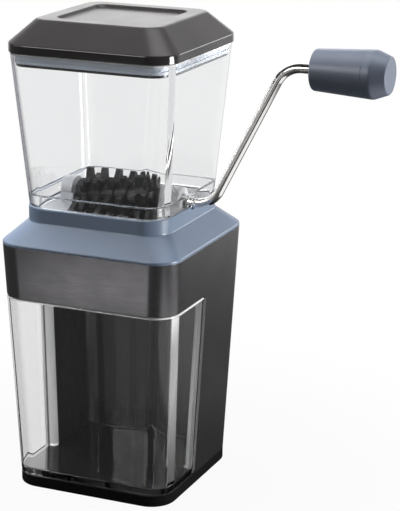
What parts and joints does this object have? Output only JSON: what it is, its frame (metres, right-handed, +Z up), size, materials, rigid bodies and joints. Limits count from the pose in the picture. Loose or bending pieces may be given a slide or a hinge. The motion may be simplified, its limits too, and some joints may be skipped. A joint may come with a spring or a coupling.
{
  "type": "nut grinder",
  "caption": "Hand cranked nut grinder: a toothed rotor turns between a coarse and a fine comb under a clear hopper, above a clear slide-out container.",
  "frame": {"origin": "centre of the base's resting face", "axes": "+Z up; -Y is the front, where the container slides out; +X is the side of the crank and the crank's axis; at rest the crank stands straight up"},
  "size_m": [0.178, 0.092, 0.2292],
  "materials": {
    "housing_plastic": "satin, fine vertical grain",
    "base_plastic": "satin",
    "pad_rubber": "matt",
    "screw_steel": "plain",
    "collar_plastic": "satin",
    "clear_plastic": "clear, polished",
    "lid_plastic": "satin",
    "seal_silicone": "satin",
    "rod_steel": "polished",
    "knob_plastic": "satin",
    "frame_plastic": "satin",
    "comb_plastic": "satin",
    "rotor_plastic": "satin",
    "bush_plastic": "satin"
  },
  "bodies": {
    "body": {"housing": "housing_plastic", "base_plate": "base_plastic", "non_slip_pad": "pad_rubber", "base_screws": "screw_steel", "collar": "collar_plastic", "collar_screws": "screw_steel", "mill_frame": "frame_plastic", "mill_screws": "screw_steel", "coarse_comb": "comb_plastic", "fine_comb": "comb_plastic", "comb_screws": "screw_steel", "bearing_cap_right": "frame_plastic", "bearing_cap_left": "frame_plastic", "shaft_bush_right": "bush_plastic", "shaft_bush_left": "bush_plastic"},
    "crank": {"crank_rod": "rod_steel", "shaft_clip": "screw_steel", "drive_pin": "screw_steel", "rotor_sleeve": "rotor_plastic", "rotor_end_ring": "rotor_plastic", "knob_clip": "screw_steel", "rotor_ring_1": "rotor_plastic", "rotor_ring_2": "rotor_plastic", "rotor_ring_3": "rotor_plastic", "rotor_ring_4": "rotor_plastic", "rotor_ring_5": "rotor_plastic", "rotor_ring_6": "rotor_plastic"},
    "knob": {"knob": "knob_plastic", "knob_cap": "knob_plastic"},
    "hopper": {"hopper": "clear_plastic"},
    "lid": {"lid_shell": "lid_plastic", "lid_plug": "lid_plastic", "lid_seal": "seal_silicone"},
    "container": {"container": "clear_plastic"}
  },
  "joints": [
    {"name": "crank_turn", "type": "hinge", "parent": "body", "child": "crank", "pos_m": [0, 0, 0.142], "axis": [1, 0, 0], "continuous": true},
    {"name": "knob_spin", "type": "hinge", "parent": "crank", "child": "knob", "pos_m": [0.114, 0, 0.2107], "axis": [1, 0, 0], "continuous": true},
    {"name": "hopper_lift", "type": "slide", "parent": "body", "child": "hopper", "axis": [0, 0, 1], "range_m": [0, 0.09]},
    {"name": "lid_lift", "type": "slide", "parent": "hopper", "child": "lid", "axis": [0, 0, 1], "range_m": [0, 0.06]},
    {"name": "container_pull", "type": "slide", "parent": "body", "child": "container", "axis": [0, -1, 0], "range_m": [0, 0.085]}
  ]
}
